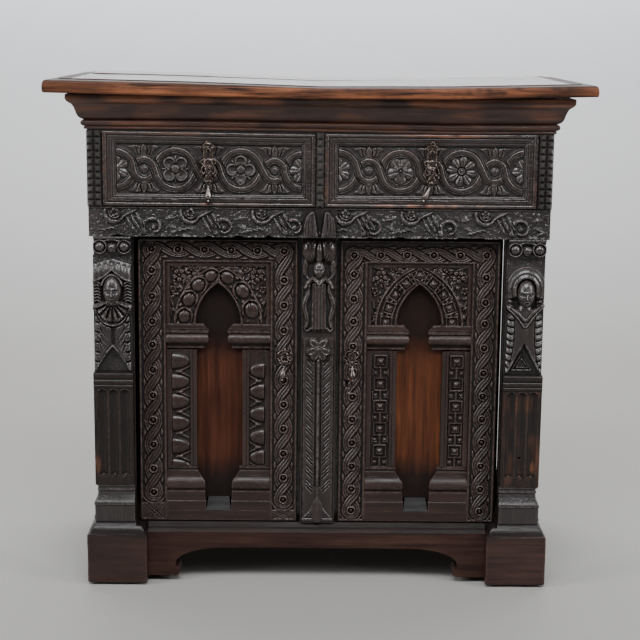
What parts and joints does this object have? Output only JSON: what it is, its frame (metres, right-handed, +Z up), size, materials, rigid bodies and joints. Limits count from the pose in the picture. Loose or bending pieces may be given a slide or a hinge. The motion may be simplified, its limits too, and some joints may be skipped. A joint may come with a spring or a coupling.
{
  "type": "court cupboard",
  "caption": "Carved oak court cupboard: drawers with drop handles over niche doors on pivots, between term figures on fluted pilasters.",
  "frame": {"origin": "on the floor at the middle of the footprint of the top board", "axes": "+X to the right across the front, the longest extent; front faces -Y; +Z up"},
  "size_m": [1, 0.518, 0.966],
  "materials": {
    "carved_oak": "near-black waxed oak with grey sheen and red-brown worn edges",
    "polished_oak": "glossy waxed oak",
    "red_brown_oak": "polished red-brown oak",
    "plain_oak": "dry unpolished oak",
    "cast_brass": "dark tarnished cast brass",
    "iron": "dark wrought iron"
  },
  "bodies": {
    "carcass": {"back_boards": "plain_oak", "base_rail": "carved_oak", "centre_bracket": "carved_oak", "centre_post": "carved_oak", "cornice_front": "carved_oak", "cornice_sides": "carved_oak", "cupboard_floor": "plain_oak", "drawer_divider": "plain_oak", "drawer_runners": "plain_oak", "foot_pads": "plain_oak", "frieze_rail": "carved_oak", "front_post_left": "carved_oak", "front_post_right": "carved_oak", "front_top_rail": "carved_oak", "nailhead_strips": "carved_oak", "pedestals": "carved_oak", "pilaster_left": "carved_oak", "pilaster_right": "carved_oak", "plinth_blocks": "carved_oak", "rear_frame": "plain_oak", "side_panels": "carved_oak", "side_rails": "carved_oak", "term_left": "carved_oak", "term_right": "carved_oak", "top_plank_front": "polished_oak", "top_plank_middle": "polished_oak", "top_plank_rear": "polished_oak", "volute_caps": "carved_oak"},
    "left_door": {"left_door_arch": "carved_oak", "left_door_hinge_stile": "carved_oak", "left_door_lock_stile": "carved_oak", "left_door_niche_mouldings": "carved_oak", "left_door_niche_pilasters": "carved_oak", "left_door_panel": "red_brown_oak", "left_door_pivot_pins": "iron", "left_door_pull_plate": "cast_brass", "left_door_rails": "carved_oak"},
    "left_door_drop": {"left_door_pull_drop": "cast_brass"},
    "left_drawer": {"left_drawer_bottom": "plain_oak", "left_drawer_box": "plain_oak", "left_drawer_escutcheon": "cast_brass", "left_drawer_front": "carved_oak"},
    "left_drawer_drop": {"left_drawer_drop": "cast_brass"},
    "right_door": {"right_door_arch": "carved_oak", "right_door_hinge_stile": "carved_oak", "right_door_lock": "iron", "right_door_lock_stile": "carved_oak", "right_door_niche_mouldings": "carved_oak", "right_door_niche_pilasters": "carved_oak", "right_door_panel": "red_brown_oak", "right_door_pivot_pins": "iron", "right_door_pull_plate": "cast_brass", "right_door_rails": "carved_oak"},
    "right_door_drop": {"right_door_pull_drop": "cast_brass"},
    "right_drawer": {"right_drawer_bottom": "plain_oak", "right_drawer_box": "plain_oak", "right_drawer_escutcheon": "cast_brass", "right_drawer_front": "carved_oak"},
    "right_drawer_drop": {"right_drawer_drop": "cast_brass"}
  },
  "joints": [
    {"name": "left_door_hinge", "type": "hinge", "parent": "carcass", "child": "left_door", "pos_m": [-0.3355, -0.155, 0.119], "axis": [0, 0, -1], "range_deg": [0, 90]},
    {"name": "right_door_hinge", "type": "hinge", "parent": "carcass", "child": "right_door", "pos_m": [0.3355, -0.155, 0.119], "axis": [0, 0, 1], "range_deg": [0, 90]},
    {"name": "left_drawer_slide", "type": "slide", "parent": "carcass", "child": "left_drawer", "axis": [0, -1, 0], "range_m": [0, 0.3]},
    {"name": "right_drawer_slide", "type": "slide", "parent": "carcass", "child": "right_drawer", "axis": [0, -1, 0], "range_m": [0, 0.3]},
    {"name": "left_drawer_drop_swing", "type": "hinge", "parent": "left_drawer", "child": "left_drawer_drop", "pos_m": [-0.208, -0.2045, 0.787], "axis": [-1, 0, 0], "range_deg": [0, 80]},
    {"name": "left_door_drop_swing", "type": "hinge", "parent": "left_door", "child": "left_door_drop", "pos_m": [-0.0645, -0.1775, 0.44], "axis": [-1, 0, 0], "range_deg": [0, 80]},
    {"name": "right_drawer_drop_swing", "type": "hinge", "parent": "right_drawer", "child": "right_drawer_drop", "pos_m": [0.208, -0.2045, 0.787], "axis": [-1, 0, 0], "range_deg": [0, 80]},
    {"name": "right_door_drop_swing", "type": "hinge", "parent": "right_door", "child": "right_door_drop", "pos_m": [0.0645, -0.1775, 0.44], "axis": [-1, 0, 0], "range_deg": [0, 80]}
  ]
}
